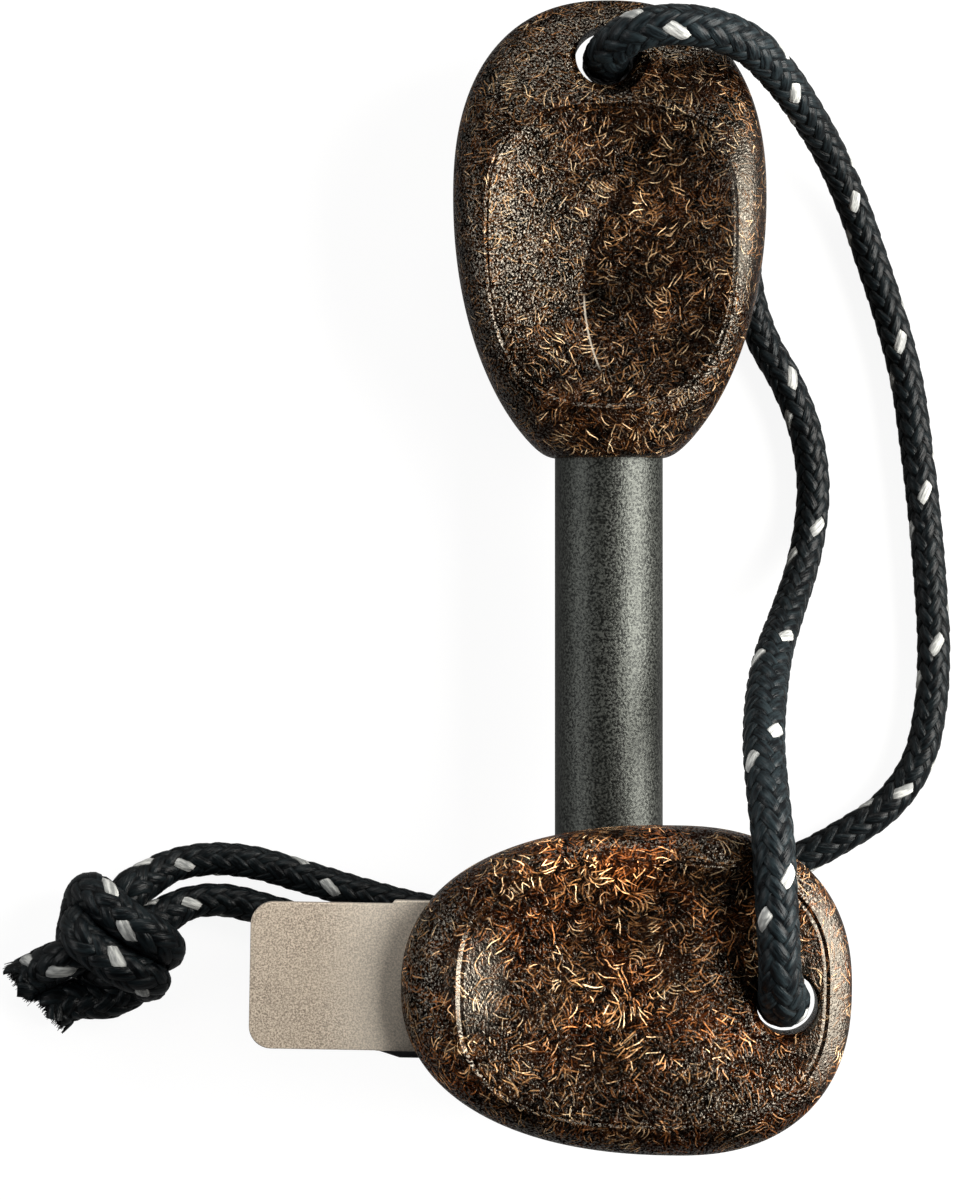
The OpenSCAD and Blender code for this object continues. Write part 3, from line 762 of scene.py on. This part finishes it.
def smooth_route(points, step=0.25):
    """Evenly spaced points on a centripetal Catmull-Rom curve through the given ones."""
    p = np.array(points, float)
    p = np.vstack([2 * p[0] - p[1], p, 2 * p[-1] - p[-2]])
    found = []
    for i in range(1, len(p) - 2):
        a, b, c, d = p[i - 1 : i + 3]
        t1 = math.dist(a, b) ** 0.5
        t2 = t1 + math.dist(b, c) ** 0.5
        t3 = t2 + math.dist(c, d) ** 0.5
        for t in np.linspace(t1, t2, 16, endpoint=False):
            u = (t1 - t) / t1 * a + t / t1 * b
            v = (t2 - t) / (t2 - t1) * b + (t - t1) / (t2 - t1) * c
            w = (t3 - t) / (t3 - t2) * c + (t - t2) / (t3 - t2) * d
            uv = (t2 - t) / t2 * u + t / t2 * v
            vw = (t3 - t) / (t3 - t1) * v + (t - t1) / (t3 - t1) * w
            found.append((t2 - t) / (t2 - t1) * uv + (t - t1) / (t2 - t1) * vw)
    found.append(p[-2])
    return even_steps(np.array(found), step)


def even_steps(points, step):
    """The same line in even steps."""
    at = np.concatenate([[0], np.cumsum(np.linalg.norm(np.diff(points, axis=0), axis=1))])
    wanted = np.linspace(0, at[-1], max(2, int(round(at[-1] / step)) + 1))
    return np.stack([np.interp(wanted, at, points[:, k]) for k in range(3)], axis=-1)


def length_of(points):
    return float(np.linalg.norm(np.diff(points, axis=0), axis=1).sum())


class Route:
    """A line with a frame that doesn't twist, which gives points round it at any distance along."""

    def __init__(self, points, tracer):
        self.points = points
        self.turn, self.slide = tracer
        steps = np.linalg.norm(np.diff(points, axis=0), axis=1)
        self.at = np.concatenate([[0], np.cumsum(steps)])
        ahead = np.gradient(points, axis=0)
        self.ahead = ahead / np.linalg.norm(ahead, axis=1)[:, None]
        side = np.cross(self.ahead[0], (0.1, 0.2, 1))
        sides = []
        for way in self.ahead:
            side = side - way * np.dot(side, way)
            side = side / np.linalg.norm(side)
            sides.append(side)
        self.side = np.array(sides)
        self.up = np.cross(self.ahead, self.side)

    def around(self, s, turn, radius):
        """Points at distance s along, at the angle turn, that far out."""
        def pick(table):
            return np.stack([np.interp(s, self.at, table[:, k]) for k in range(3)], axis=-1)
        over = np.where(s < 0, s, np.where(s > self.at[-1], s - self.at[-1], 0))
        middle = pick(self.points) + pick(self.ahead) * over[..., None]
        out = np.cos(turn)[..., None] * pick(self.side) + np.sin(turn)[..., None] * pick(self.up)
        return middle + out * radius[..., None]


def braid_mesh(name, route, start, stop, swell, ragged=0.0):
    """The yarns of a braid between two distances along a route, over a dark core."""
    rng = random.Random(name)
    turn_rate = 2 * math.pi / LAY
    pitch = math.atan(turn_rate * CORD_D / 2)
    across = np.array([-1, -0.7, 0, 0.7, 1])
    crown_shape = np.array([-0.25, 0.72, 1, 0.72, -0.25])
    points, faces, slots, uvs = [], [], [], []
    for way in (1, -1):
        for number in range(YARNS_EACH_WAY):
            end = stop - rng.uniform(0, ragged)
            steps = max(2, int((end - start) / 0.3))
            s = np.linspace(start, end, steps + 1)
            turn = route.turn + way * turn_rate * (s - route.slide) + 2 * math.pi * number / YARNS_EACH_WAY
            beat = 2 * YARNS_EACH_WAY * (s - route.slide) / LAY
            wave = way * np.cos(2 * math.pi * (2 * number + way * beat - 0.5) / 4)
            wave = wave * math.sqrt(1.15) / np.sqrt(wave ** 2 + 0.15)
            grown = swell(s)[:, None]
            reach = across[None] * YARN_WIDTH / 2 * (1 + 0.1 * wave[:, None]) * grown
            s_all = s[:, None] - way * reach * math.sin(pitch)
            turn_all = turn[:, None] + reach * math.cos(pitch) / (CORD_D / 2) / grown
            radius = (YARN_BED + YARN_WAVE * wave[:, None] + YARN_CROWN * crown_shape[None]) * grown
            if ragged:
                flare = np.clip((s - (stop - 2.2)) / 2.2, 0, 1)[:, None]
                radius = radius + rng.uniform(0, 0.4) * flare ** 2
            base = len(points)
            points += route.around(s_all, turn_all, radius).reshape(-1, 3).tolist()
            pale = (way, number) == TRACER
            for i in range(steps):
                if wave[i] < -0.97 and wave[i + 1] < -0.97:
                    continue
                for k in range(4):
                    a = base + 5 * i + k
                    faces.append((a, a + 1, a + 6, a + 5))
                    slots.append(1 if pale else 0)
                    left, right = k / 4 + 5.0 * number + 50 * way, (k + 1) / 4 + 5.0 * number + 50 * way
                    uvs += [(left, s[i]), (right, s[i]), (right, s[i + 1]), (left, s[i + 1])]
    sides = 14
    count = max(2, int((stop - start - ragged * 0.5) / 0.5))
    s = np.linspace(start, stop - ragged * 0.5, count + 1)
    t = np.arange(sides) * 2 * math.pi / sides
    s_all = np.repeat(s[:, None], sides, axis=1)
    core = route.around(s_all, np.repeat(t[None], len(s), axis=0), (YARN_BED - 0.02) * swell(s_all))
    base = len(points)
    points += core.reshape(-1, 3).tolist()
    for i in range(count):
        for k in range(sides):
            a = base + sides * i + k
            b = base + sides * i + (k + 1) % sides
            faces.append((a, b, b + sides, a + sides))
            slots.append(2)
            uvs += [(k, s[i]), (k + 1, s[i]), (k + 1, s[i + 1]), (k, s[i + 1])]
    for first, last in ((base, True), (base + sides * count, False)):
        ring = [first + k for k in range(sides)]
        faces.append(tuple(reversed(ring)) if last else tuple(ring))
        slots.append(2)
        uvs += [(0, 0)] * sides
    mesh = bpy.data.meshes.new(name)
    mesh.from_pydata([tuple(c * MM for c in p) for p in points], [], faces)
    mesh.update()
    layer = mesh.uv_layers.new(name="yarn")
    layer.data.foreach_set("uv", [c for uv in uvs for c in uv])
    mesh.polygons.foreach_set("material_index", slots)
    mesh.polygons.foreach_set("use_smooth", [True] * len(faces))
    return mesh


def separated(strands, pinned_ends, rounds=260):
    """Pushes the strands of a knot apart until none lies in another, over the table and within the knot."""
    strands = [even_steps(smooth_route(points), 0.8) for points in strands]
    starts = [points.copy() for points in strands]
    sizes = [len(points) for points in strands]
    p = np.vstack(strands)
    home = np.vstack(starts)
    owner = np.repeat(np.arange(len(sizes)), sizes)
    place = np.concatenate([np.arange(n) for n in sizes]) * 0.8
    far = (owner[:, None] != owner[None]) | (np.abs(place[:, None] - place[None]) > 1.5 * CORD_D)
    free = np.concatenate([np.minimum(np.arange(n), np.arange(n)[::-1]) >= pinned_ends for n in sizes])
    least = 0.93 * CORD_D
    for turn in range(rounds):
        gap = p[:, None] - p[None]
        distance = np.linalg.norm(gap, axis=2) + 1e-9
        push = np.where(far & (distance < least), (least - distance) / distance, 0)[..., None] * gap
        count = np.maximum(1, (far & (distance < least)).sum(1))[:, None]
        p = p + np.where(free[:, None], 0.45 * push.sum(1) / count, 0)
        base = 0
        for n in sizes:
            line = p[base : base + n]
            smooth = line.copy()
            smooth[1:-1] = 0.5 * line[1:-1] + 0.25 * (line[:-2] + line[2:])
            keep = free[base : base + n, None]
            p[base : base + n] = np.where(keep, 0.7 * line + 0.3 * smooth, line)
            base += n
        p = np.where(free[:, None], p + 0.01 * (home - p), p)
        p[:, 2] = np.clip(p[:, 2], KNOT_LOWEST, KNOT_HIGHEST)
    out, base = [], 0
    for n in sizes:
        out.append(even_steps(smooth_route(p[base : base + n]), 0.25))
        base += n
    return out


def frayed_end(route, length, swell, name):
    """Loose filaments that stand out of a cut end."""
    rng = random.Random(name)
    points, faces = [], []
    for _ in range(FILAMENTS):
        turn = rng.uniform(0, 2 * math.pi)
        out = swell * CORD_D / 2 * math.sqrt(rng.uniform(0, 1))
        tip = length + rng.uniform(-0.3, 0.3)
        drift = rng.uniform(-0.2, 0.35)
        width = rng.uniform(0.05, 0.11)
        base = len(points)
        for s, radius, wide in ((length - 1.4, out * 0.9, width), (tip, out + drift, width * 0.4)):
            for k in range(3):
                corner = 2 * math.pi * k / 3
                centre = route.around(np.array([s]), np.array([turn]), np.array([max(0.0, radius)]))[0]
                shift = route.around(np.array([s]), np.array([corner]), np.array([wide]))[0]
                centre = centre + shift - route.around(np.array([s]), np.array([0.0]), np.array([0.0]))[0]
                points.append(centre)
        faces += [(base + k, base + (k + 1) % 3, base + 3 + (k + 1) % 3, base + 3 + k) for k in range(3)]
        faces.append((base + 5, base + 4, base + 3))
    return points, faces


def join_filaments(mesh, points, faces):
    """Adds loose filaments to a braid's mesh."""
    work = bmesh.new()
    work.from_mesh(mesh)
    made = [work.verts.new([float(c) * MM for c in p]) for p in points]
    for corners in faces:
        work.faces.new([made[i] for i in corners]).material_index = 0
    work.to_mesh(mesh)
    work.free()


def swelling(route, knot_at, hole_swell, hole_at_far_end=False):
    """How wide the braid lies along a line that starts in a lanyard hole, as a function of distance."""
    total = route.at[-1]

    def swell(s):
        height = np.interp(s, route.at, route.points[:, 2])
        high = np.clip((height - 3) / 13, 0, 1)
        wide = FLOOR_SWELL + (HIGH_SWELL - FLOOR_SWELL) * high ** 2 * (3 - 2 * high)
        wide = wide + (hole_swell - wide) * np.clip(1.4 - s / 5, 0, 1)
        if hole_at_far_end:
            wide = wide + (STRIKER_HOLE_SWELL - wide) * np.clip(1.4 - (total - s) / 5, 0, 1)
        at_end = np.clip(1.2 - (total - s) / 5, 0, 1)
        knot = KNOT_SWELL + (END_SWELL - KNOT_SWELL) * at_end
        return wide + (knot - wide) * np.clip((s - knot_at) / 4, 0, 1)

    return swell


def add_cord_piece(name, route, start, stop, swell, exit_at, far_end, materials, *nodes):
    """One length of the cord: its braid between two distances along a line."""
    ragged = 0.8 if far_end == "bare" else 0
    mesh = braid_mesh(name, route, start, stop, swell, ragged)
    if ragged:
        join_filaments(mesh, *frayed_end(route, stop, END_SWELL, name))
    for material in materials:
        mesh.materials.append(material)
    piece = add_piece(name, mesh, "lanyard", "cord", *nodes)


def add_cord():
    """The one cord: two lines that run from the lanyard holes through the knot, and one between the holes."""
    black = yarn_material("black_yarn", (0.0009, 0.0012, 0.0015), (0.005, 0.0074, 0.0085), 0.34, 0.006, 0.13)
    pale = yarn_material("tracer_yarn", (0.15, 0.155, 0.152), (0.38, 0.385, 0.37), 0.45, 0.1, 0.3,
                         TRACER_HIGH_PAINTED_LIGHT)
    core = yarn_material("core_yarn", (0.0008, 0.001, 0.0012), (0.002, 0.003, 0.0035), 0.7, 0.0, 0.1)
    materials = [black, pale, core]
    outer_strand, return_strand = separated([KNOT_OUTER, KNOT_RETURN], 3)
    outer, inner, back = smooth_route(OUTER_RUN), smooth_route(INNER_RUN), smooth_route(RETURN_RUN)
    outer_line = Route(np.vstack([outer[::-1], outer_strand[1:]]), OUTER_TRACER)
    inner_line = Route(inner, INNER_TRACER)
    return_line = Route(np.vstack([back, return_strand[1:]]), RETURN_TRACER)
    for side, line, strand, run_node, hole_swell in (
        ("outer", outer_line, outer_strand, "cord_outer_run", HOLE_SWELL),
        ("return", return_line, return_strand, "cord_return_run", STRIKER_HOLE_SWELL),
    ):
        total = line.at[-1]
        knot_at = total - length_of(strand) - KNOT_REACH
        swell = swelling(line, knot_at, hole_swell)
        end_node = "cord_end_lower" if side == "outer" else "cord_end_upper"
        add_cord_piece(side + "_run_braid", line, 0, knot_at, swell, 0, "knot", materials, run_node)
        add_cord_piece("knot_" + side + "_strand", line, knot_at, total, swell, 0, "bare", materials, "cord_knot",
                       end_node)
    total = inner_line.at[-1]
    swell = swelling(inner_line, total, HOLE_SWELL, True)
    add_cord_piece("inner_run_braid", inner_line, 0, total, swell, 0, "object", materials, "cord_inner_run")


def add_blade(material):
    """The CAD model's blade with its sharp edges broken, and its long shoulder stepped down."""
    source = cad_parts["striker_blade"]
    work = bmesh.new()
    work.from_mesh(source.data)
    bmesh.ops.transform(work, matrix=source.matrix_world, verts=work.verts)
    bmesh.ops.remove_doubles(work, verts=work.verts, dist=0.001 * MM)
    bmesh.ops.dissolve_limit(work, angle_limit=math.radians(1), verts=work.verts, edges=work.edges)
    sharp = [e for e in work.edges if len(e.link_faces) == 2 and e.calc_face_angle() > math.radians(30)]
    bmesh.ops.bevel(work, geom=sharp, offset=0.12 * MM, segments=3, profile=0.5, affect="EDGES")
    outward = Vector((math.cos(STRIKER_TURN), math.sin(STRIKER_TURN), 0))
    edge = Vector(at_striker(np.array([[BLADE_EDGE_X, 0, 0]]))[0]) * MM
    for past in (0.02, 0.1):
        parts = [*work.verts, *work.edges, *work.faces]
        bmesh.ops.bisect_plane(work, geom=parts, dist=0.0005 * MM, plane_co=edge + outward * past * MM,
                               plane_no=outward)
    for vertex in work.verts:
        if (vertex.co - edge).dot(outward) > 0.06 * MM and vertex.co.z > edge.z:
            vertex.co.z -= SHOULDER_STEP * MM
    mesh = bpy.data.meshes.new("scraper_blade")
    work.to_mesh(mesh)
    work.free()
    mesh.materials.append(material)
    for polygon in mesh.polygons:
        polygon.use_smooth = True
    mesh.set_sharp_from_angle(angle=math.radians(35))
    return add_piece("scraper_blade", mesh, "striker", "blade_steel", "striker_blade")


def add_rod(material):
    """The bar, turned in fine steps, with a broken edge at its free end."""
    low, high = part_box("ferro_rod")
    near, far = low[1] / MM, high[1] / MM
    radius, around = ROD_D / 2, 160
    t = np.arange(around) * 2 * math.pi / around
    profile = [(radius - 0.9, near), (radius - 0.5, near), (radius - 0.2, near + 0.12), (radius - 0.03, near + 0.42)]
    profile += [(radius, y) for y in np.linspace(near + 0.6, far, 24)]
    rings = []
    for r, y in profile:
        rings.append(np.stack([ROD_X + r * np.cos(t), np.full(around, y), ROD_Z - r * np.sin(t)], axis=-1))
    mesh = mesh_from_rings("rod_bar", (ROD_X, near, ROD_Z), rings, (ROD_X, far, ROD_Z))
    mesh.materials.append(material)
    for polygon in mesh.polygons:
        polygon.use_smooth = True
    mesh.set_sharp_from_angle(angle=math.radians(50))
    return add_piece("rod_bar", mesh, "firesteel", "ferrocerium", "ferro_rod")


# Places that follow from the sizes
rod_low, rod_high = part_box("ferro_rod")
ROD_X = (rod_low[0] + rod_high[0]) / 2 / MM
ROD_Z = (rod_low[2] + rod_high[2]) / 2 / MM
ROD_GRIP_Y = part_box("rod_grip")[0][1] / MM - ROD_GRIP_END
STRIKER_Z = ROD_Z + ROD_D / 2 + SEAT_OVER_ROD + face_at(REST_Y, STRIKER_GRIP, BACK_POWER)

add_camera()
add_cord()
light_the_studio()
lay_the_floor()
fibre_nodes = fibre_group()
rod_composite = fibre_composite("rod_grip_composite", fibre_nodes, ROD_GRIP_LOOK)
striker_composite = fibre_composite("striker_grip_composite", fibre_nodes, STRIKER_GRIP_LOOK)
add_grip("rod_grip_moulding", ROD_GRIP, at_firesteel, "firesteel", "rod_grip", rod_composite, 0)
add_grip("striker_grip_moulding", STRIKER_GRIP, at_striker, "striker", "striker_grip", striker_composite,
         DISH_DEPTH / 2)
add_rod(ferrocerium())
add_blade(blasted_steel())
